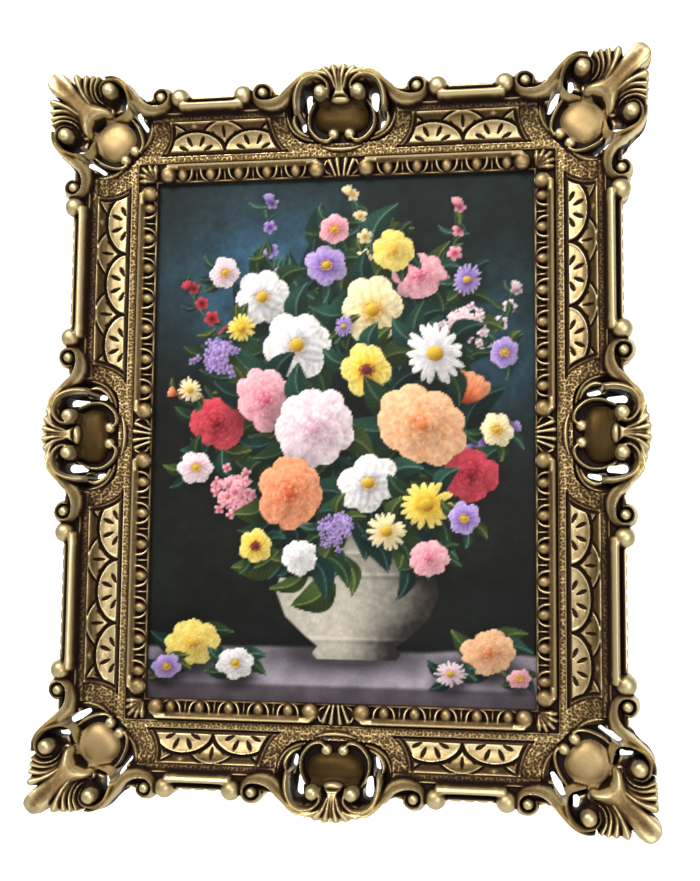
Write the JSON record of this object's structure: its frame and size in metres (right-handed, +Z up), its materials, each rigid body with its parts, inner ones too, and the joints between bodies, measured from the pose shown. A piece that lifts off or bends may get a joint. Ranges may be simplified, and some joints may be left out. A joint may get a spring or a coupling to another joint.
{
  "type": "framed oil painting",
  "caption": "Portrait flower painting in a wide pierced baroque swept frame in antiqued gold, with a hanger let into the back.",
  "frame": {"origin": "middle of the hanger's back face, in the plane of the frame's flat back", "axes": "+X to the viewer's right, +Z up, +Y into the wall; the picture faces -Y"},
  "size_m": [0.462, 0.0416, 0.5684],
  "materials": {
    "antiqued_gold": "moulded resin, gilt paint rubbed over a dark brown ground, satin",
    "painted_canvas": "oil-painted canvas on a panel, satin varnish",
    "board": "plain hardboard, matt",
    "zinc_steel": "zinc-plated sheet steel, dull"
  },
  "bodies": {
    "root": {"frame": "antiqued_gold", "painting": "painted_canvas", "backing_board": "board", "hanger": "zinc_steel", "retaining_tab_top": "zinc_steel", "retaining_tab_bottom": "zinc_steel", "retaining_tab_right": "zinc_steel", "retaining_tab_left": "zinc_steel"}
  },
  "joints": []
}
